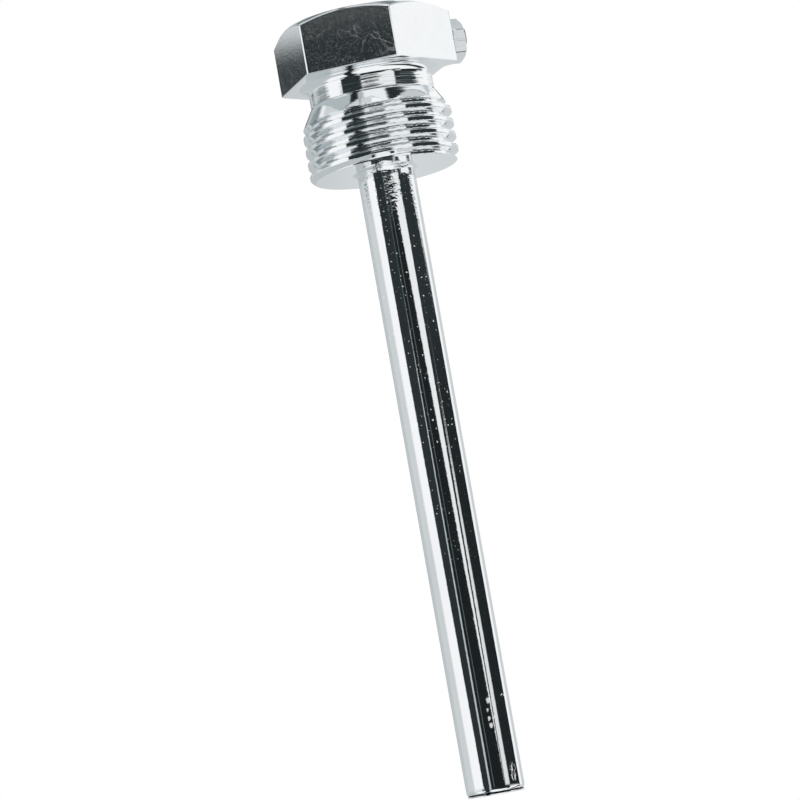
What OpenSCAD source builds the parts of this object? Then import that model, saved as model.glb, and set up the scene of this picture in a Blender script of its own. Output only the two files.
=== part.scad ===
// Screw-in thermowell: a blind pocket that keeps a temperature sensor dry
// inside a pipe or tank. A turned hexagon head with a parallel pipe thread
// carries a thin tube, which is brazed in and closed by a brazed end plug.
// A small hexagon-head screw in the side of the head clamps the sensor.
//
// The well's axis is Z. The sealing face under the hexagon is z = 0, the head
// stands above it and the stem hangs below. The clamp screw points along X.
// All sizes are in millimetres.

/* [Head] */
// Hexagon head, across flats
hex_af = 22; // [21:0.5:27]
// Height of the head above the sealing face
hex_h = 8.2; // [8:0.1:12]
// Flat circle left on top by the 30 degree chamfer
hex_top_d = 21.2; // [19:0.1:21.8]

/* [Threaded shank] */
// Length of the shank below the sealing face
shank_len = 13.2; // [12:0.1:18]
// Relief neck between the sealing face and the thread
neck_d = 17.4; // [16:0.1:18.2]
// Length of the relief neck
neck_len = 2.7; // [1.5:0.1:3]
// Outside diameter of the G 1/2 thread
thread_d = 20.955; // [20.6:0.005:20.955]
// Chamfer on the end of the thread
end_chamfer = 0.4; // [0.2:0.05:0.6]

/* [Stem] */
// Insertion length, sealing face to tip
insertion_len = 100; // [60:5:250]
// Outside diameter of the stem tube
stem_d = 8; // [7.6:0.1:9]
// Wall of the stem tube
stem_wall = 0.5; // [0.4:0.05:0.8]
// Depth of the socket that the tube is brazed into
socket_depth = 9; // [6:0.5:10]
// Leg of the braze fillet round the tube
fillet_leg = 0.8; // [0.4:0.1:1.2]

/* [End plug] */
// Thickness of the plug's outer disc
plug_disc = 0.3; // [0.3:0.05:1.5]
// Length of the plug's spigot inside the tube
plug_spigot = 1.7; // [1:0.1:3]
// Step of the seat that is bored in the tube's end for the spigot
plug_step = 0.2; // [0.15:0.05:0.25]

/* [Clamp screw] */
// Height of the screw's axis above the sealing face
screw_z = 4.25; // [4:0.05:5]
// Distance of the screw head's outer face from the well's axis
screw_reach = 14.4; // [12.5:0.1:15]
// Length of the screw under its head
screw_len = 8; // [6:0.5:8]
// Turn of the screw's hexagon about its own axis
screw_turn = 13; // [0:1:59]
// Diameter of the spotface that the screw is seated in
spotface_d = 11.7; // [9:0.1:12]
// Depth of the spotface below the flat of the hexagon
spotface_depth = 1.1; // [0.5:0.1:1.3]

/* [Hidden] */
$fn = 96;

// Head
chamfer_angle = 30;
hex_top_r = hex_top_d / 2;

// G 1/2: 14 turns an inch, 55 degree flanks, lands of a sixth of the pitch
pitch = 25.4 / 14;
half_flank = 27.5;
land = pitch / 6;
thread_depth = 0.640327 * pitch;
thread_r = thread_d / 2;
root_r = thread_r - thread_depth;

// Shank: the relief neck flares at 30 degrees into the thread
flare_angle = 30;
neck_r = neck_d / 2;
neck_fillet = 0.4;
flare_len = (thread_r - neck_r) / tan(flare_angle);
last_crest = shank_len - end_chamfer - land / 2;
groove_count = floor((last_crest - neck_len) / pitch);

// Sensor way and stem
bore_d = stem_d - 2 * stem_wall;
entry_chamfer = 1;
braze_gap = 0.05;
socket_r = stem_d / 2 + braze_gap;
tube_top = socket_depth - shank_len;
tube_end = plug_disc - insertion_len;
plug_seat_r = bore_d / 2 + plug_step;
plug_edge = 0.15;

// M3 clamp screw
screw_d = 3;
screw_af = 5.5;
screw_head_h = 2;
screw_point = 0.5;
screw_gap = 0.05;
screw_seat_x = screw_reach - screw_head_h;
spotface_x = hex_af / 2 - spotface_depth;
spotface_corner = 1;

// How far a cutter runs past the face it opens
over = 1;

// Hexagonal prism standing on z = 0, its top edge turned off at the chamfer
// angle down to a flat circle
module chamfered_hex(across_flats, height, top_r) {
    slope_r = top_r + height / tan(chamfer_angle);
    intersection() {
        cylinder(h = height, r = across_flats / sqrt(3), $fn = 6);
        cylinder(h = height, r1 = slope_r, r2 = top_r);
    }
}

// Turned outline of the shank before the thread is cut: a fillet under the
// head, the relief neck, the flare and the threaded length with its end chamfer
module shank_blank() {
    fillet = [
        for (a = [0:15:90])
            [neck_r + neck_fillet * (1 - sin(a)), -neck_fillet * (1 - cos(a))]
    ];
    rotate_extrude()
        polygon(concat(
            [[0, over], [neck_r + neck_fillet, over]],
            fillet,
            [
                [neck_r, -neck_len],
                [thread_r, -neck_len - flare_len],
                [thread_r, end_chamfer - shank_len],
                [thread_r - end_chamfer, -shank_len],
                [0, -shank_len]
            ]
        ));
}

// One groove of the thread as a ring, centred on z
module thread_groove(z) {
    root_half = land / 2;
    mouth_half = root_half + (thread_depth + over) * tan(half_flank);
    rotate_extrude()
        translate([0, z])
            polygon([
                [root_r, -root_half],
                [thread_r + over, -mouth_half],
                [thread_r + over, mouth_half],
                [root_r, root_half]
            ]);
}

// The thread has its true profile, pitch and depth, drawn as rings: the lead
// of the helix, under 2 degrees, is left out
module shank() {
    difference() {
        shank_blank();
        for (turn = [0:groove_count - 1])
            thread_groove(-last_crest + (turn + 0.5) * pitch);
    }
}

// Everything that is open along the well's axis: the lead-in chamfer, the
// sensor bore and the socket for the tube
module sensor_way() {
    translate([0, 0, tube_top - over])
        cylinder(h = hex_h - tube_top + 2 * over, d = bore_d);
    translate([0, 0, hex_h - entry_chamfer])
        cylinder(
            h = entry_chamfer + over,
            r1 = bore_d / 2,
            r2 = bore_d / 2 + entry_chamfer + over
        );
    translate([0, 0, -shank_len - over])
        cylinder(h = socket_depth + over, r = socket_r);
}

// Spotface in the flat of the hexagon, cut with a round-cornered cutter, and
// the screw hole from there to the sensor bore
module clamp_way() {
    spotface_r = spotface_d / 2;
    translate([0, 0, screw_z])
        rotate([0, 90, 0]) {
            cylinder(h = spotface_x + over, d = screw_d + 2 * screw_gap);
            translate([0, 0, spotface_x])
                rotate_extrude() {
                    square([spotface_r - spotface_corner, spotface_depth + over]);
                    translate([0, spotface_corner])
                        square([spotface_r, spotface_depth + over - spotface_corner]);
                    translate([spotface_r - spotface_corner, spotface_corner])
                        circle(r = spotface_corner);
                }
        }
}

module body() {
    color("gainsboro")
        difference() {
            union() {
                rotate([0, 0, 30])
                    chamfered_hex(hex_af, hex_h, hex_top_r);
                shank();
            }
            sensor_way();
            clamp_way();
        }
}

module stem_tube() {
    color("silver")
        difference() {
            translate([0, 0, tube_end])
                cylinder(h = tube_top - tube_end, d = stem_d);
            translate([0, 0, tube_end - over])
                cylinder(h = tube_top - tube_end + 2 * over, d = bore_d);
            translate([0, 0, tube_end - over])
                cylinder(h = plug_spigot + over, r = plug_seat_r);
        }
}

// Stepped plug: a disc as wide as the tube closes its end, and a spigot
// stands against the step of the seat inside
module end_plug() {
    stem_r = stem_d / 2;
    rounded_edge = [
        for (a = [0:15:90])
            [
                stem_r - plug_edge * (1 - sin(a)),
                -insertion_len + plug_edge * (1 - cos(a))
            ]
    ];
    color("lightsteelblue")
        rotate_extrude()
            polygon(concat(
                [[0, -insertion_len]],
                rounded_edge,
                [
                    [stem_r, tube_end],
                    [plug_seat_r, tube_end],
                    [plug_seat_r, tube_end + plug_spigot],
                    [0, tube_end + plug_spigot]
                ]
            ));
}

// Concave fillet of braze between the end of the shank and the tube
module braze_fillet() {
    color("lightgray")
        translate([0, 0, -shank_len])
            rotate_extrude()
                difference() {
                    translate([stem_d / 2, -fillet_leg])
                        square(fillet_leg);
                    translate([stem_d / 2 + fillet_leg, -fillet_leg])
                        circle(r = fillet_leg);
                }
}

module clamp_screw() {
    shank_r = screw_d / 2;
    color("darkgray")
        translate([screw_seat_x, 0, screw_z])
            rotate([0, 90, 0]) {
                rotate([0, 0, screw_turn])
                    chamfered_hex(screw_af, screw_head_h, 0.95 * screw_af / 2);
                translate([0, 0, screw_point - screw_len])
                    cylinder(h = screw_len - screw_point, r = shank_r);
                translate([0, 0, -screw_len])
                    cylinder(h = screw_point, r1 = shank_r - screw_point, r2 = shank_r);
            }
}

body();
stem_tube();
end_plug();
braze_fillet();
clamp_screw();
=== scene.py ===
"""Looks of the screw-in thermowell: a nickel-plated pocket with its clamp screw.

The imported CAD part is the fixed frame. The pieces made here stand for its nodes
with what the solids leave out: soft edges, the true helix of both threads, the
uneven braze bead and the plated finish. Lengths are written in millimetres and
scaled by MM. The well's axis is Z, and the sealing face is z = 0.
"""

import math
from collections import namedtuple

import bmesh
import bpy
import numpy as np
from mathutils import Matrix, Vector, noise


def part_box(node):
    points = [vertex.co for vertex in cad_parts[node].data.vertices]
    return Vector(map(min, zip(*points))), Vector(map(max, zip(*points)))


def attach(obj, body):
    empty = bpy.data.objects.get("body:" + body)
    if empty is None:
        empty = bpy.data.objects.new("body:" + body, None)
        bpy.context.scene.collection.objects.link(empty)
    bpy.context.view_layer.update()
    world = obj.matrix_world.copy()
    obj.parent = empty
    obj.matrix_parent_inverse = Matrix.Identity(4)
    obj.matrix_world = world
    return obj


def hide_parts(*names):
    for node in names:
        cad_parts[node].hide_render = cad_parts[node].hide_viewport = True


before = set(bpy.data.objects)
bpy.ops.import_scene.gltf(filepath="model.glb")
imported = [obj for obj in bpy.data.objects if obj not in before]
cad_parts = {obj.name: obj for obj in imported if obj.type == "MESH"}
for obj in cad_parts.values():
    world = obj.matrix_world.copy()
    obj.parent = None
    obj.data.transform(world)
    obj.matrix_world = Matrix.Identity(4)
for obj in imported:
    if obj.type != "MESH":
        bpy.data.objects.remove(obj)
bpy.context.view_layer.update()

MM = 0.001
TURN = 2 * math.pi


def corners_mm(node):
    """Lowest and highest corner of a CAD node, in millimetres."""
    low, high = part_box(node)
    return [v / MM for v in low], [v / MM for v in high]


BODY_LOW, BODY_HIGH = corners_mm("body")
TUBE_LOW, TUBE_HIGH = corners_mm("stem_tube")
PLUG_LOW, PLUG_HIGH = corners_mm("end_plug")
BEAD_HIGH = corners_mm("braze_fillet")[1]
SCREW_LOW, SCREW_HIGH = corners_mm("clamp_screw")

# Head
HEX_AF = 2 * BODY_HIGH[0]
HEX_H = BODY_HIGH[2]
HEX_TOP_R = 10.6
HEX_TURN = math.radians(30)
HEX_EDGE = 0.14
CHAMFER_ANGLE = math.radians(30)

# Shank with its G 1/2 thread
SHANK_END = BODY_LOW[2]
NECK_R = 8.7
NECK_END = -3.12
NECK_FILLET = 1.2
FLARE_ANGLE = math.radians(30)
# The flare starts with a short steeper ring
RING_ANGLE = math.radians(40)
RING_END = NECK_END - 0.3
RING_BLEND = 0.03
PIPE_PITCH = 25.4 / 14
PIPE_R = 20.955 / 2
PIPE_HALF_FLANK = math.radians(22)
PIPE_LAND = 0.6
PIPE_CORNER = 0.12
PIPE_DEPTH = 1.0
PIPE_ROWS = 270
# The groove reaches its full depth between these heights, along the flare
RUN_IN = (-3.9, -4.8)
RUN_IN_BLEND = 0.08
END_CHAMFER = 0.42
END_BLEND = 0.1
# A crest of the helix passes this height at this azimuth
CREST_Z = -6.31
CREST_AZIMUTH = math.radians(-21)
# The turned part reaches this far up into the hexagon
JOIN_Z = 0.5

# Stem
STEM_R = TUBE_HIGH[0]
BORE_R = STEM_R - 0.5
LEAD_IN = 1.0
SOCKET_R = STEM_R + 0.05
SOCKET_EDGE = 0.1
SOCKET_TOP = TUBE_HIGH[2]
TUBE_END = TUBE_LOW[2]
TUBE_EDGE = 0.5
TIP = PLUG_LOW[2]
PLUG_TOP = PLUG_HIGH[2]
PLUG_R = STEM_R - 0.12
PLUG_SEAT_R = BORE_R + 0.2

# Braze bead: how far it runs out on the shank's face and down the tube
BEAD_LEG = BEAD_HIGH[0] - STEM_R
BEAD_REACH = 0.82 * BEAD_LEG

# Clamp screw, M3, with its spotface and hole
SCREW_Z = (SCREW_LOW[2] + SCREW_HIGH[2]) / 2
SCREW_AF = 5.5
SCREW_TOP_R = 0.47 * SCREW_AF
SCREW_HEAD = 2.0
SCREW_EDGE = 0.07
SCREW_TURN = math.radians(13)
SCREW_SEAT_X = SCREW_HIGH[0] - SCREW_HEAD
SCREW_LENGTH = SCREW_SEAT_X - SCREW_LOW[0]
SCREW_R = 1.5
SCREW_POINT = 0.45
SCREW_PITCH = 0.5
SCREW_DEPTH = 0.307
SCREW_ROWS = 170
# The thread runs out between these heights below the screw's head
RUN_OUT = (-1.0, -1.5)
SCREW_HOLE_R = 1.55
SPOT_R = 5.85
SPOT_X = BODY_HIGH[0] - 1.1
SPOT_CORNER = 1.0

# Columns of vertices round every turned surface, and their azimuths
COLUMNS = 192
AZIMUTHS = np.arange(COLUMNS) * TURN / COLUMNS

# Edges sharper than these are broken, and are shaded as edges
SOFTEN_ANGLE = math.radians(20)
CREASE_ANGLE = math.radians(25)


# ---------------------------------------------------------------- mesh helpers

def new_object(name, vertices, faces):
    """Object from vertices in millimetres."""
    mesh = bpy.data.meshes.new(name)
    mesh.from_pydata([tuple(c * MM for c in v) for v in vertices], [], faces)
    mesh.validate()
    piece = bpy.data.objects.new(name, mesh)
    bpy.context.scene.collection.objects.link(piece)
    return piece


def ring_surface(rings, closed, capped):
    """Vertices and faces of a surface that runs through rings round Z.

    Each ring is (r, z), and either may be an array with a value for each column.
    """
    vertices = []
    for r, z in rings:
        r = np.broadcast_to(r, COLUMNS)
        z = np.broadcast_to(z, COLUMNS)
        vertices += list(zip(r * np.cos(AZIMUTHS), r * np.sin(AZIMUTHS), z))
    faces = []
    count = len(rings)
    for row in range(count if closed else count - 1):
        here = row * COLUMNS
        there = (row + 1) % count * COLUMNS
        for k in range(COLUMNS):
            after = (k + 1) % COLUMNS
            faces.append((here + k, there + k, there + after, here + after))
    if capped:
        faces.append(tuple(range(COLUMNS)))
        last = (count - 1) * COLUMNS
        faces.append(tuple(range(last + COLUMNS - 1, last - 1, -1)))
    return vertices, faces


def lathe(name, rings, closed=False, capped=False):
    """Turned piece: closed joins the last ring to the first, capped fills both."""
    piece = new_object(name, *ring_surface(rings, closed, capped))
    edit(piece, lambda bm: bmesh.ops.recalc_face_normals(bm, faces=bm.faces[:]))
    return piece


def prism(name, across_flats, low, high, turn):
    """Hexagonal prism round Z; turn is the azimuth of its first corner."""
    radius = across_flats / math.sqrt(3)
    angles = [turn + k * TURN / 6 for k in range(6)]
    outline = [(radius * math.cos(a), radius * math.sin(a)) for a in angles]
    vertices = [(x, y, z) for z in (low, high) for x, y in outline]
    faces = [(k, (k + 1) % 6, (k + 1) % 6 + 6, k + 6) for k in range(6)]
    faces += [tuple(range(5, -1, -1)), tuple(range(6, 12))]
    return new_object(name, vertices, faces)


def edit(piece, change):
    """Runs change(bm) on a piece's mesh."""
    bm = bmesh.new()
    bm.from_mesh(piece.data)
    change(bm)
    bm.to_mesh(piece.data)
    bm.free()
    piece.data.update()


def apply_modifiers(piece):
    """Makes what a piece's modifiers do part of its mesh."""
    graph = bpy.context.evaluated_depsgraph_get()
    mesh = bpy.data.meshes.new_from_object(piece.evaluated_get(graph))
    piece.modifiers.clear()
    piece.data = mesh


def combine(piece, tool, operation):
    """Boolean of two closed pieces; the tool is used up."""
    cut = piece.modifiers.new("cut", "BOOLEAN")
    cut.operation = operation
    cut.object = tool
    cut.solver = "MANIFOLD"
    apply_modifiers(piece)
    bpy.data.objects.remove(tool)


def soften(piece, width):
    """Breaks every sharp edge with a narrow chamfer."""
    bevel = piece.modifiers.new("soft_edges", "BEVEL")
    bevel.width = width * MM
    bevel.segments = 1
    bevel.limit_method = "ANGLE"
    bevel.angle_limit = SOFTEN_ANGLE
    bevel.use_clamp_overlap = False
    bevel.miter_outer = "MITER_ARC"
    apply_modifiers(piece)


def shade(piece):
    """Smooth shading in which the large flat faces stay flat."""
    for face in piece.data.polygons:
        face.use_smooth = True

    def mark_creases(bm):
        for edge in bm.edges:
            edge.smooth = not (edge.is_manifold and edge.calc_face_angle(0) > CREASE_ANGLE)

    edit(piece, mark_creases)
    weighted = piece.modifiers.new("flat_faces", "WEIGHTED_NORMAL")
    weighted.keep_sharp = True
    weighted.weight = 60
    apply_modifiers(piece)


def steps(start, end, count):
    """Evenly spaced values from start to end, both included."""
    return [start + (end - start) * k / (count - 1) for k in range(count)]


def arc(centre_r, centre_z, radius, start, end, count=7):
    """Rings along an arc in the (r, z) half-plane, angles in degrees."""
    angles = [math.radians(a) for a in steps(start, end, count)]
    return [
        (centre_r + radius * math.cos(a), centre_z + radius * math.sin(a))
        for a in angles
    ]


def swell(size, seed):
    """Smooth noise round the axis, one value for each column; a larger size is finer."""
    return np.array([
        noise.noise(Vector((size * math.cos(a), size * math.sin(a), seed)))
        for a in AZIMUTHS
    ])


# --------------------------------------------------------------------- threads

def soft_min(a, b, blend):
    """Smaller of two values, with a soft change over from one to the other."""
    gap = np.maximum(blend - np.abs(a - b), 0) / blend
    return np.minimum(a, b) - gap * gap * blend / 4


def soft_max(a, b, blend):
    return -soft_min(-a, -b, blend)


def ramp(z, top, bottom):
    """0 above the top and 1 below the bottom."""
    return np.clip((top - z) / (top - bottom), 0, 1)


def from_crest(offset, pitch):
    """Distance along the axis from the middle of the nearest crest."""
    return np.abs((offset + pitch / 2) % pitch - pitch / 2)


def pipe_thread(offset):
    """Depth of the pipe thread below its crest."""
    distance = from_crest(offset, PIPE_PITCH)
    flank = (distance - PIPE_LAND / 2) / math.tan(PIPE_HALF_FLANK)
    return soft_min(soft_max(flank, 0, PIPE_CORNER), PIPE_DEPTH, PIPE_CORNER)


def metric_thread(offset):
    """Depth of the M3 thread below its crest."""
    flank = [SCREW_PITCH / 16, SCREW_PITCH * 3 / 8]
    return np.interp(from_crest(offset, SCREW_PITCH), flank, [0, SCREW_DEPTH])


# ------------------------------------------------------------------ the pieces

def hexagon_head(across_flats, height, top_r, turn):
    """Hexagonal prism with its top edge turned off at 30 degrees."""
    head = prism("head", across_flats, 0, height, turn)
    # The cone's foot is wider than the hexagon's corners
    foot_r = across_flats
    foot_z = height - (foot_r - top_r) * math.tan(CHAMFER_ANGLE)
    cone = lathe("cone", [(foot_r, -1), (foot_r, foot_z), (top_r, height)], capped=True)
    combine(head, cone, "INTERSECT")
    return head


def lay_along_x(piece, start=0):
    """Lays what was made round Z along +X at the screw's height, z = 0 at start."""
    turn = Matrix.Rotation(math.pi / 2, 4, "Y")
    piece.data.transform(Matrix.Translation((start * MM, 0, SCREW_Z * MM)) @ turn)
    piece.data.update()


def body_head():
    """The hexagon with its bore and lead-in, and the spotface and hole for the screw."""
    head = hexagon_head(HEX_AF, HEX_H, HEX_TOP_R, HEX_TURN)
    # Each cutter ends in a flare at 45 degrees, this wide
    flare = 1
    mouth_r = BORE_R + LEAD_IN
    bore = [(BORE_R, -1), (BORE_R, HEX_H - LEAD_IN)]
    bore += [(mouth_r, HEX_H), (mouth_r + flare, HEX_H + flare)]
    combine(head, lathe("bore", bore, capped=True), "DIFFERENCE")
    soften(head, HEX_EDGE)
    rim = SPOT_X + SPOT_CORNER
    spot = arc(SPOT_R - SPOT_CORNER, rim, SPOT_CORNER, -90, 0)
    spot.append((SPOT_R + flare, rim + flare))
    edge = SPOT_X - HEX_EDGE
    hole = [(SCREW_HOLE_R, BORE_R / 2), (SCREW_HOLE_R, edge)]
    hole.append((SCREW_HOLE_R + flare, edge + flare))
    for outline in (spot, hole):
        cutter = lathe("cutter", outline, capped=True)
        lay_along_x(cutter)
        combine(head, cutter, "DIFFERENCE")
    return head


def shank_rings():
    """Rings down the outside of the shank and back up inside to the bore."""
    lead = PIPE_PITCH * (AZIMUTHS - CREST_AZIMUTH) / TURN
    fillet_r = NECK_R + NECK_FILLET
    rings = [(fillet_r, JOIN_Z)]
    rings += arc(fillet_r, -NECK_FILLET, NECK_FILLET, 90, 180, 17)
    # Rings close to both sides of the neck's lower edge keep it crisp
    rings += [(NECK_R, z) for z in steps(-NECK_FILLET - 0.1, NECK_END + 0.12, 9)]
    ring_r = NECK_R + (NECK_END - RING_END) * math.tan(RING_ANGLE)
    for z in steps(NECK_END + 0.07, SHANK_END, PIPE_ROWS):
        thread = PIPE_R - pipe_thread(z - CREST_Z - lead) * ramp(z, *RUN_IN)
        ring = NECK_R + (NECK_END - z) * math.tan(RING_ANGLE)
        cone = ring_r + (RING_END - z) * math.tan(FLARE_ANGLE)
        flare = soft_max(NECK_R, soft_min(ring, cone, RING_BLEND), RING_BLEND)
        chamfer = PIPE_R - END_CHAMFER + (z - SHANK_END)
        turned = soft_min(thread, flare, RUN_IN_BLEND)
        rings.append((soft_min(turned, chamfer, END_BLEND), z))
    # Across the end face and up the socket and the bore
    rim = rings[-1][0]
    rings += [(rim - inset, SHANK_END) for inset in (0.06, 0.5)]
    rings += [(r, SHANK_END) for r in (8, 6, 5, SOCKET_R + SOCKET_EDGE)]
    rings += [(SOCKET_R, z) for z in (SHANK_END + SOCKET_EDGE, -9, SOCKET_TOP)]
    rings += [(BORE_R, z) for z in (SOCKET_TOP, -2, JOIN_Z)]
    return rings


def make_body():
    """The whole turned piece, its hexagon joined to its shank."""
    body = body_head()
    combine(body, lathe("shank", shank_rings(), closed=True), "UNION")
    body.name = "pocket_body"
    shade(body)
    return body


def make_stem():
    """Drawn tube: its lower edge is rounded unevenly where the plug is brazed."""
    ragged = swell(1.6, 3.7) + 0.5 * swell(5, 9.1)
    height = TUBE_EDGE + 0.16 * ragged
    width = 0.8 * height
    rings = [(BORE_R, SOCKET_TOP), (STEM_R, SOCKET_TOP)]
    rings += [(STEM_R, z) for z in steps(SOCKET_TOP - 1, TUBE_END + 1, 60)]
    for a in steps(0, 90, 9):
        turn = math.radians(a)
        rings.append((
            STEM_R - width * (1 - math.cos(turn)),
            TUBE_END + height * (1 - math.sin(turn)),
        ))
    rings += [(PLUG_SEAT_R, TUBE_END), (PLUG_SEAT_R, PLUG_TOP), (BORE_R, PLUG_TOP)]
    rings += [(BORE_R, z) for z in steps(PLUG_TOP + 1, SOCKET_TOP - 1, 6)]
    stem = lathe("drawn_stem", rings, closed=True)
    shade(stem)
    return stem


def make_plug():
    """Stepped plug: the disc shows below the tube, the spigot stands inside."""
    edge = (TUBE_END - TIP) / 2
    cap_r = 0.5
    rings = [(cap_r, TIP)]
    rings += arc(PLUG_R - edge, TIP + edge, edge, -90, 0)
    rings += [(PLUG_R, TUBE_END - 0.05), (PLUG_R - 0.1, TUBE_END)]
    rings += [(PLUG_SEAT_R, TUBE_END), (PLUG_SEAT_R, PLUG_TOP), (cap_r, PLUG_TOP)]
    plug = lathe("tip_plug", rings, capped=True)
    shade(plug)
    return plug


def make_bead():
    """Braze fillet with an uneven run-out on the shank's face and the tube."""
    def uneven(seed):
        return swell(1.3, seed) + 0.6 * swell(4, seed + 5)

    out = BEAD_REACH + 0.22 * BEAD_LEG * uneven(1.2)
    down = BEAD_REACH + 0.25 * BEAD_LEG * uneven(8.4)
    inner_r = STEM_R - 0.02
    rings = [(inner_r, SHANK_END), (STEM_R + out, SHANK_END)]
    for a in steps(6, 84, 10):
        turn = math.radians(a)
        lumps = 0.06 * uneven(a * 0.05)
        rings.append((
            STEM_R + out * (1 - math.sin(turn)) + lumps,
            SHANK_END - down * (1 - math.cos(turn)),
        ))
    rings.append((inner_r, SHANK_END - down))
    bead = lathe("braze_bead", rings, closed=True)
    shade(bead)
    return bead


def make_screw():
    """M3 hexagon-head screw, made along Z and then laid along +X."""
    screw = hexagon_head(SCREW_AF, SCREW_HEAD, SCREW_TOP_R, SCREW_TURN)
    soften(screw, SCREW_EDGE)
    lead = SCREW_PITCH * AZIMUTHS / TURN
    cap_r = 0.3
    # The shank is plain above the first height, and ends inside the head
    plain_z = -0.3
    join_z = 0.4
    rings = [(cap_r, -SCREW_LENGTH)]
    for z in steps(-SCREW_LENGTH, plain_z - 0.05, SCREW_ROWS):
        thread = SCREW_R - metric_thread(z - lead)
        run_out = SCREW_R - SCREW_DEPTH * ramp(z, *RUN_OUT)
        point = SCREW_R - SCREW_POINT + (z + SCREW_LENGTH)
        rings.append((np.minimum(np.maximum(thread, run_out), point), z))
    rings += [(SCREW_R, plain_z), (SCREW_R, join_z), (cap_r, join_z)]
    combine(screw, lathe("screw_shank", rings, capped=True), "UNION")
    lay_along_x(screw, SCREW_SEAT_X)
    screw.name = "hexagon_screw"
    shade(screw)
    return screw


# ------------------------------------------------------------------- materials

class Nodes:
    """Short calls for a material's or the world's node tree."""

    def __init__(self, tree):
        self.tree = tree
        self.tree.nodes.clear()

    def add(self, kind, **settings):
        node = self.tree.nodes.new(kind)
        for key, value in settings.items():
            setattr(node, key, value)
        return node

    def feed(self, socket, value):
        """Links a socket to another one's output, or sets its plain value."""
        if isinstance(value, bpy.types.NodeSocket):
            self.tree.links.new(value, socket)
        else:
            socket.default_value = value

    def math(self, operation, a, b=0.0, clamp=False):
        node = self.add("ShaderNodeMath", operation=operation, use_clamp=clamp)
        self.feed(node.inputs[0], a)
        self.feed(node.inputs[1], b)
        return node.outputs[0]

    def plus(self, a, b):
        return self.math("ADD", a, b)

    def minus(self, a, b):
        return self.math("SUBTRACT", a, b)

    def times(self, a, b):
        return self.math("MULTIPLY", a, b)

    def smooth(self, value, start, end):
        """0 before start, 1 past end, and a smooth step between."""
        node = self.add("ShaderNodeMapRange", interpolation_type="SMOOTHSTEP")
        self.feed(node.inputs["Value"], value)
        self.feed(node.inputs["From Min"], start)
        self.feed(node.inputs["From Max"], end)
        return node.outputs["Result"]

    def mix(self, factor, a, b):
        """Colour a where the factor is 0, and b where it is 1."""
        node = self.add("ShaderNodeMix", data_type="RGBA")
        self.feed(node.inputs["Factor"], factor)
        # These numbers are the node's colour sockets
        self.feed(node.inputs[6], a)
        self.feed(node.inputs[7], b)
        return node.outputs[2]

    def coordinates(self, kind="Object"):
        return self.add("ShaderNodeTexCoord").outputs[kind]

    def split(self, vector):
        """Outputs X, Y and Z of a vector."""
        node = self.add("ShaderNodeSeparateXYZ")
        self.feed(node.inputs[0], vector)
        return node.outputs

    def vector_math(self, operation, a, b):
        node = self.add("ShaderNodeVectorMath", operation=operation)
        self.feed(node.inputs[0], a)
        self.feed(node.inputs[1], b)
        return node.outputs["Vector"]

    def length(self, vector):
        node = self.add("ShaderNodeVectorMath", operation="LENGTH")
        self.feed(node.inputs[0], vector)
        return node.outputs["Value"]

    def stretched(self, vector, scale):
        node = self.add("ShaderNodeMapping")
        self.feed(node.inputs["Vector"], vector)
        self.feed(node.inputs["Scale"], scale)
        return node.outputs["Vector"]

    def noise(self, vector, scale=1.0, detail=2.0, roughness=0.5):
        node = self.add("ShaderNodeTexNoise")
        self.feed(node.inputs["Vector"], vector)
        self.feed(node.inputs["Scale"], scale)
        self.feed(node.inputs["Detail"], detail)
        self.feed(node.inputs["Roughness"], roughness)
        return node.outputs["Fac"]

    def bump(self, height, strength, depth, normal=None):
        """Normal bent by a height; depth is in millimetres."""
        node = self.add("ShaderNodeBump")
        self.feed(node.inputs["Strength"], strength)
        self.feed(node.inputs["Distance"], depth * MM)
        self.feed(node.inputs["Height"], height)
        if normal is not None:
            self.feed(node.inputs["Normal"], normal)
        return node.outputs["Normal"]


def unrolled(nodes, vector):
    """Millimetres round the stem and along it; the seam is at the back."""
    x, y, z = nodes.split(vector)
    angle = nodes.math("ARCTAN2", x, nodes.times(y, -1.0))
    join = nodes.add("ShaderNodeCombineXYZ")
    nodes.feed(join.inputs[0], nodes.times(angle, STEM_R))
    nodes.feed(join.inputs[1], nodes.math("DIVIDE", z, MM))
    return join.outputs[0]


def specks(nodes, flat, spacing, share, radius):
    """1 in the middle of small scattered specks of uneven outline, 0 elsewhere."""
    wander = nodes.add("ShaderNodeTexNoise", noise_dimensions="2D")
    nodes.feed(wander.inputs["Vector"], flat)
    nodes.feed(wander.inputs["Scale"], 3.0)
    reach = 0.35
    shift = nodes.vector_math("MULTIPLY", wander.outputs["Color"], (reach, reach, reach))
    cells = nodes.add("ShaderNodeTexVoronoi", feature="F1", voronoi_dimensions="2D")
    nodes.feed(cells.inputs["Vector"], nodes.vector_math("ADD", flat, shift))
    nodes.feed(cells.inputs["Scale"], 1 / spacing)
    # Each cell's own random colour says whether it has a speck, and how large
    chosen, extra, _ = nodes.split(cells.outputs["Color"])
    present = nodes.math("LESS_THAN", chosen, share)
    size = nodes.times(nodes.plus(extra, 0.3), radius / spacing)
    away = nodes.math("DIVIDE", cells.outputs["Distance"], size)
    near = nodes.math("SUBTRACT", 1.0, away, clamp=True)
    return nodes.times(near, present)


def patch(nodes, flat, centre, reach):
    """1 in the middle of an oval patch of the unrolled stem, falling to 0 at its rim."""
    offset = nodes.vector_math("SUBTRACT", flat, (*centre, 0))
    scaled = nodes.vector_math("DIVIDE", offset, (*reach, 1))
    return nodes.smooth(nodes.length(scaled), 1.0, 0.4)


PLATE_TONE = (0.90, 0.92, 0.935, 1)
PLATE_DULL = (0.80, 0.83, 0.85, 1)
PLATE_FAINT = (0.875, 0.895, 0.91, 1)
PLATE_ROUGHNESS = (0.03, 0.075)
# Colour of the painted shade in the seam between tube and plug
SEAM_SHADE_TONE = (0.03, 0.04, 0.045, 1)


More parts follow.
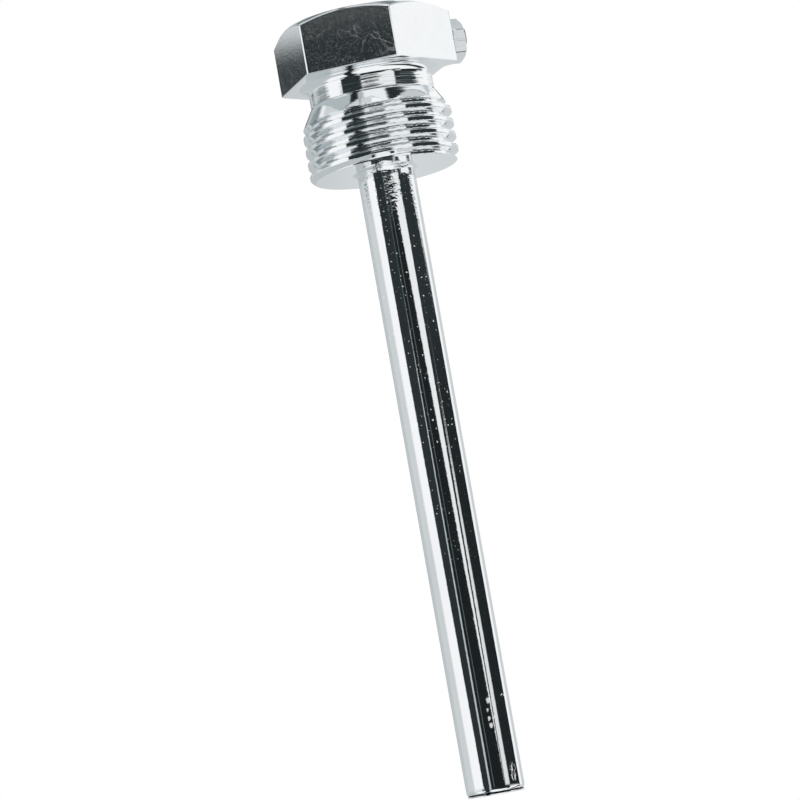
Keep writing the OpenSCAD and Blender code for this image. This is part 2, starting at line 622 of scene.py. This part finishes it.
def plated(name, roughness, cloud_scale, dull):
    """Plated metal with faint clouds in its tone and gloss: its tree and shader."""
    material = bpy.data.materials.new(name)
    material.use_nodes = True
    nodes = Nodes(material.node_tree)
    shader = nodes.add("ShaderNodeBsdfPrincipled")
    out = nodes.add("ShaderNodeOutputMaterial")
    nodes.feed(out.inputs["Surface"], shader.outputs[0])
    # Plain values, for whatever doesn't read the nodes
    shader.inputs["Metallic"].default_value = 1.0
    shader.inputs["Base Color"].default_value = PLATE_TONE
    shader.inputs["Roughness"].default_value = roughness
    vector = nodes.coordinates()
    clouds = nodes.noise(vector, cloud_scale, detail=3.0)
    tone = nodes.mix(nodes.smooth(clouds, 0.45, 0.75), PLATE_TONE, dull)
    nodes.feed(shader.inputs["Base Color"], tone)
    gloss = nodes.add("ShaderNodeMapRange")
    nodes.feed(gloss.inputs["Value"], nodes.noise(vector, cloud_scale * 4, detail=4.0))
    gloss.inputs["To Min"].default_value = PLATE_ROUGHNESS[0]
    gloss.inputs["To Max"].default_value = PLATE_ROUGHNESS[1]
    nodes.feed(shader.inputs["Roughness"], gloss.outputs["Result"])
    return material, nodes, shader, vector


def handling(nodes, vector, z):
    """Haze of a handled plated face: fine grain and thin curved scratches."""
    grain = nodes.smooth(nodes.noise(vector, 4200, detail=3.0, roughness=0.7), 0.50, 0.66)
    # A thin line runs where a slow noise passes its middle, in some places only
    off_line = nodes.math("ABSOLUTE", nodes.minus(nodes.noise(vector, 420, detail=1.0), 0.5))
    line = nodes.smooth(off_line, 0.014, 0.003)
    line = nodes.times(line, nodes.smooth(nodes.noise(vector, 260, detail=1.0), 0.40, 0.55))
    haze = nodes.plus(nodes.times(grain, 0.10), nodes.times(line, 0.12))
    upper = nodes.smooth(z, 0.35 * HEX_H * MM, HEX_H * MM)
    return nodes.plus(haze, nodes.times(upper, 0.035))


def body_material():
    """Plate over turned brass: turning marks below, haze and scratches above."""
    material, nodes, shader, vector = plated("plated_head_metal", 0.05, 180, PLATE_FAINT)
    z = nodes.split(vector)["Z"]
    # The turning marks are deepest in the neck
    below_head = nodes.smooth(z, -0.6 * MM, -0.9 * MM)
    in_neck = nodes.smooth(z, NECK_END * MM, (NECK_END + 0.1) * MM)
    strength = nodes.times(below_head, nodes.plus(0.4, nodes.times(in_neck, 0.6)))
    marks = nodes.noise(nodes.stretched(vector, (60, 60, 2600)), detail=3.0, roughness=0.6)
    normal = nodes.bump(marks, strength, depth=0.022)
    on_head = nodes.smooth(z, 0.1 * MM, 0.3 * MM)
    grain = nodes.noise(vector, 4200, detail=2.0, roughness=0.6)
    normal = nodes.bump(grain, nodes.times(on_head, 0.12), depth=0.02, normal=normal)
    nodes.feed(shader.inputs["Normal"], normal)
    haze = nodes.times(handling(nodes, vector, z), on_head)
    nodes.feed(shader.inputs["Metallic"], nodes.minus(1.0, haze))
    return material


def stem_relief(nodes, vector, flat, z):
    """Normal of the stem: lines along it, slow waves, and torn edges under the bead."""
    lines = nodes.noise(nodes.stretched(vector, (2600, 2600, 12)), detail=2.0)
    normal = nodes.bump(lines, strength=0.03, depth=0.02)
    normal = nodes.bump(nodes.noise(flat, 0.9), strength=0.3, depth=0.02, normal=normal)
    near_bead = nodes.smooth(z, (SHANK_END - 11) * MM, (SHANK_END - 2) * MM)
    waves = nodes.noise(flat, 2.6)
    normal = nodes.bump(waves, nodes.times(near_bead, 0.7), depth=0.025, normal=normal)
    blotch = patch(nodes, flat, centre=(-0.55, SHANK_END - 3.4), reach=(1.1, 2.6))
    swirl = nodes.noise(nodes.stretched(flat, (1.1, 1.8, 1)), detail=1.5)
    return nodes.bump(swirl, nodes.times(blotch, 0.8), depth=0.10, normal=normal)


def stem_haze(nodes, flat, z):
    """Matt specks, which thin out downwards, and three rough places near the tip."""
    fine = specks(nodes, flat, spacing=0.45, share=0.12, radius=0.06)
    haze = nodes.plus(specks(nodes, flat, spacing=0.9, share=0.4, radius=0.13), fine)
    haze = nodes.times(haze, nodes.smooth(z, -85 * MM, -45 * MM))
    lumps = specks(nodes, flat, spacing=1.1, share=0.9, radius=0.55)
    nick = specks(nodes, flat, spacing=0.5, share=0.9, radius=0.3)
    veins = nodes.smooth(nodes.noise(nodes.stretched(flat, (7, 0.8, 1))), 0.52, 0.6)
    places = [
        (lumps, (-0.3, -89.7), (0.6, 4.6)),
        (nick, (2.15, -87.0), (0.6, 0.3)),
        (veins, (1.65, -97.3), (0.8, 1.7)),
    ]
    for pattern, centre, reach in places:
        rough = nodes.times(pattern, patch(nodes, flat, centre, reach))
        haze = nodes.math("MAXIMUM", haze, rough)
    return nodes.times(nodes.smooth(haze, 0.1, 0.6), 0.75)


def stem_material():
    """Plate over drawn tube, with painted shade in the seam between tube and plug."""
    material, nodes, shader, vector = plated("plated_stem_metal", 0.04, 120, PLATE_FAINT)
    z = nodes.split(vector)["Z"]
    flat = unrolled(nodes, vector)
    nodes.feed(shader.inputs["Normal"], stem_relief(nodes, vector, flat, z))
    nodes.feed(shader.inputs["Metallic"], nodes.minus(1.0, stem_haze(nodes, flat, z)))
    # Painted shade: the gap between tube and plug is darkened in the base colour, along a
    # wandering line
    wander = nodes.times(nodes.minus(nodes.noise(flat, 1.2), 0.5), 0.25 * MM)
    seam_z = (TUBE_END - 0.04) * MM
    off_seam = nodes.math("ABSOLUTE", nodes.minus(nodes.plus(z, wander), seam_z))
    painted_seam_shade = nodes.smooth(off_seam, 0.12 * MM, 0.05 * MM)
    plate = shader.inputs["Base Color"].links[0].from_socket
    nodes.feed(shader.inputs["Base Color"], nodes.mix(painted_seam_shade, plate, SEAM_SHADE_TONE))
    return material


def bead_material():
    """Plated braze: lumpy, with duller clouds."""
    material, nodes, shader, vector = plated("plated_braze_metal", 0.07, 600, PLATE_DULL)
    lumps = nodes.noise(vector, 1500, detail=3.0)
    nodes.feed(shader.inputs["Normal"], nodes.bump(lumps, strength=0.8, depth=0.10))
    return material


def screw_material():
    """Plated steel with drawing lines along the screw."""
    material, nodes, shader, vector = plated("plated_screw_metal", 0.08, 500, PLATE_DULL)
    lines = nodes.noise(nodes.stretched(vector, (60, 3800, 3800)), detail=2.0)
    nodes.feed(shader.inputs["Normal"], nodes.bump(lines, strength=0.5, depth=0.02))
    return material


# ---------------------------------------------------------------------- studio

# The camera stands at this azimuth, elevation and distance from a point on the
# well's axis, shifted aside a little and rolled about its own line of sight
CAMERA_AZIMUTH = math.radians(-109.555)
CAMERA_ELEVATION = math.radians(-6.471)
CAMERA_ROLL = math.radians(-10.025)
CAMERA_DISTANCE = 412.33
CAMERA_ASIDE = -3.565
CAMERA_TARGET_Z = -44.905
CAMERA_LENS = 135.147


def make_camera():
    az, el, roll = CAMERA_AZIMUTH, CAMERA_ELEVATION, CAMERA_ROLL
    back = Vector((math.cos(el) * math.cos(az), math.cos(el) * math.sin(az), math.sin(el)))
    level = Vector((-math.sin(az), math.cos(az), 0))
    upright = back.cross(level)
    right = math.cos(roll) * level + math.sin(roll) * upright
    up = math.cos(roll) * upright - math.sin(roll) * level
    place = Vector((0, 0, CAMERA_TARGET_Z)) + CAMERA_ASIDE * level + CAMERA_DISTANCE * back
    data = bpy.data.cameras.new("camera")
    data.lens = CAMERA_LENS
    data.sensor_width = 36
    data.clip_start = 0.01
    data.clip_end = 20
    camera = bpy.data.objects.new("camera", data)
    camera.matrix_world = Matrix((
        (right.x, up.x, back.x, place.x * MM),
        (right.y, up.y, back.y, place.y * MM),
        (right.z, up.z, back.z, place.z * MM),
        (0, 0, 0, 1),
    ))
    bpy.context.scene.collection.objects.link(camera)
    bpy.context.scene.camera = camera


def tone(level):
    """Grey of a linear level; the darker it is, the cooler it is."""
    cool = 0.24 * (1 - level) ** 1.6
    return (level * (1 - cool), level, level * (1 + cool / 4), 1)


# What the metal reflects, in degrees. Azimuth 0 is the camera's side and grows
# to the right, elevation 0 is level with the object. A side edge may lean, by so
# many degrees for each degree of elevation. The side edges are soft, and the
# level ones fade, by so many degrees either way.
Card = namedtuple(
    "Card", "left right low high level soft fade lean_left lean_right",
    defaults=(1.5, 1.5, 0, 0),
)
TENT = 1.0
CARDS = [
    # walls of the tent left of the object, behind it and right of it
    Card(-181, -150, -3, 32, 0.50, 4, 3),
    Card(-150, -88, -90, 14, 0.68, 5),
    Card(-148, -128, -90, 14, 0.58, 6),
    Card(-150, -86, 15, 32, 0.30, 2.5),
    Card(-134, -84, 14, 26, 0.06, 3, 1.5),
    Card(-112, -82, -16, -5, 0.07, 3, 2),
    Card(-122, -90, 12.4, 32, 0.27, 4, 0.8),
    Card(150, 173, 13, 20, 0.05, 2, 1),
    Card(-173, -158, 13, 20, 0.05, 2, 1),
    Card(-181, -95, -90, -3, 0.56, 4),
    Card(131, 181, -90, 12, 0.66, 4),
    Card(-181, -130, 30, 60, 0.30, 5, 5),
    Card(160, 181, 32, 60, 0.40, 5, 5),
    Card(160, 174, 38, 60, 0.15, 1.5, 2),
    Card(-181, -168, 26, 40, 0.18, 2, 2),
    Card(-113, -93, 11.3, 12.4, 0.05, 3, 0.3),
    Card(-147, -135, 12.2, 13.45, 0.04, 0.2, 0.2),
    # table in front of the object, with the feet of the two flags on it
    Card(-95, -54, -12, -3, 0.78, 3),
    Card(-130, -30, -80, -46, 0.55, 5, 6),
    Card(-54, 60, -17, -4, 0.05, 2, 2),
    Card(-41, -22, -28, -8, 0.02, 3, 3),
    Card(38, 45, -14, -8, 0.75, 2, 1),
    Card(-23, -13, -72, -24, 0.02, 3, 4, 0.7, 0.5),
    Card(111, 132, -46, -9, 0.05, 3, 3, 0.8, 0.7),
    Card(122, 190, -72, -44, 0.03, 3, 3, 1.1, 1.7),
    # ceiling over the lens, dim on the left
    Card(-181, -5, 44, 86, 0.68, 4, 3),
    Card(75, 181, 42, 66, 0.62, 5, 3),
    Card(-10, 50, 16, 34, 0.28, 3, 2),
    Card(-60, -20, 15, 42, 0.20, 3, 2),
    Card(-72, -34, 40, 62, 0.03, 2, 2),
    Card(-48, -41, 70, 76, 0.12, 2, 1),
    # flag left of the lens
    Card(-54, -16, 6.5, 18, 0.03, 1.2),
    Card(-47.3, -16, -14, 9, 0.03, 1.2, 0.5, -0.85),
    # dark room behind the lens, with a bright diagonal gap and two thin ones
    Card(-18, 60, -6, 12, 0.014, 1.5, 1),
    Card(-17, 60, 11.5, 13.2, 0.10, 2, 0.8),
    Card(-6, 60, 13.2, 17, 0.80, 5, 0.8),
    Card(14, 60, 11.5, 16, 0.60, 6, 0.8),
    Card(40, 60, 6, 15, 0.015),
    Card(37.8, 40.5, -2, 17, 0.90, 1.2, 1.5, -2, 0.68),
    Card(44, 60, -2.5, 5.5, 0.80, 1.2, 1.2, 1.7),
    Card(-22, -15.5, -8, 8, 0.55, 0.8, 1.5, 0.55),
    Card(-19, -15, 8, 11, 0.08, 0.8, 1),
    Card(-5, -2, -4, 11, 0.12, 0.8, 1),
    # flag right of the lens, its shoulder and its top
    Card(60.5, 113.5, -4, 9.5, 0.018),
    Card(47, 131, 7, 18, 0.03, 1.5, 1.5, 0, -3),
    Card(60, 92, 15, 50, 0.22, 4, 3),
]


def reflected_tent(nodes):
    """Colour of the tent and its cards in the direction of a ray."""
    turned = nodes.add("ShaderNodeVectorRotate", rotation_type="Z_AXIS")
    nodes.feed(turned.inputs["Vector"], nodes.coordinates("Generated"))
    turned.inputs["Angle"].default_value = -CAMERA_AZIMUTH
    x, y, z = nodes.split(turned.outputs[0])
    degree = math.radians(1)
    azimuth = nodes.times(nodes.math("ARCTAN2", y, x), 1 / degree)
    elevation = nodes.times(nodes.math("ARCSINE", z), 1 / degree)

    def past(value, edge, softness):
        """1 on the higher side of an edge, or on the lower if softness is negative."""
        return nodes.smooth(value, edge - softness, edge + softness)

    def upright(lean):
        """Azimuth with a leaning edge set upright."""
        return nodes.minus(azimuth, nodes.times(elevation, lean))

    colour = tone(TENT)
    for card in CARDS:
        left = past(upright(card.lean_left), card.left, card.soft)
        right = past(upright(card.lean_right), card.right, -card.soft)
        low = past(elevation, card.low, card.fade)
        high = past(elevation, card.high, -card.fade)
        on_card = nodes.times(nodes.times(left, right), nodes.times(low, high))
        colour = nodes.mix(on_card, colour, tone(card.level))
    return colour


def studio_world():
    """White for the camera and as light, a tent with dark cards for the metal."""
    world = bpy.data.worlds.new("studio")
    bpy.context.scene.world = world
    world.use_nodes = True
    nodes = Nodes(world.node_tree)
    tent = nodes.add("ShaderNodeBackground")
    nodes.feed(tent.inputs["Color"], reflected_tent(nodes))
    plain = nodes.add("ShaderNodeBackground")
    plain.inputs["Color"].default_value = (1, 1, 1, 1)
    choose = nodes.add("ShaderNodeMixShader")
    nodes.feed(choose.inputs[0], nodes.add("ShaderNodeLightPath").outputs["Is Glossy Ray"])
    nodes.feed(choose.inputs[1], plain.outputs[0])
    nodes.feed(choose.inputs[2], tent.outputs[0])
    out = nodes.add("ShaderNodeOutputWorld")
    nodes.feed(out.inputs["Surface"], choose.outputs[0])


FLOOR_DROP = 150
FLOOR_HALF = 3000
# Half of the floor's white is paper, which takes the shadow, and half is glow
FLOOR_SHARE = 0.5


def make_floor():
    """White floor far below the tip; it keeps the object's shadow."""
    corners = [(-1, -1), (1, -1), (1, 1), (-1, 1)]
    z = TIP - FLOOR_DROP
    vertices = [(x * FLOOR_HALF, y * FLOOR_HALF, z) for x, y in corners]
    floor = new_object("floor", vertices, [(0, 1, 2, 3)])
    material = bpy.data.materials.new("floor_paper")
    material.use_nodes = True
    nodes = Nodes(material.node_tree)
    paper = nodes.add("ShaderNodeBsdfDiffuse")
    paper.inputs["Color"].default_value = (FLOOR_SHARE, FLOOR_SHARE, FLOOR_SHARE, 1)
    glow = nodes.add("ShaderNodeEmission")
    glow.inputs["Strength"].default_value = 1 - FLOOR_SHARE
    both = nodes.add("ShaderNodeAddShader")
    nodes.feed(both.inputs[0], paper.outputs[0])
    nodes.feed(both.inputs[1], glow.outputs[0])
    out = nodes.add("ShaderNodeOutputMaterial")
    nodes.feed(out.inputs["Surface"], both.outputs[0])
    floor.data.materials.append(material)
    floor.visible_glossy = False


# -------------------------------------------------------------------- assembly

def dress(piece, body, node, material):
    """Gives a piece its material, says what it rides on, and hides the CAD node it stands
    for.
    """
    # A boolean leaves an empty slot behind
    piece.data.materials.clear()
    piece.data.materials.append(material)
    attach(piece, body)
    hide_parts(node)


make_camera()
studio_world()
make_floor()
dress(make_body(), "pocket", "body", body_material())
dress(make_stem(), "pocket", "stem_tube", stem_material())
dress(make_plug(), "pocket", "end_plug", stem_material())
dress(make_bead(), "pocket", "braze_fillet", bead_material())
dress(make_screw(), "screw", "clamp_screw", screw_material())

bpy.context.scene.view_settings.view_transform = "Standard"
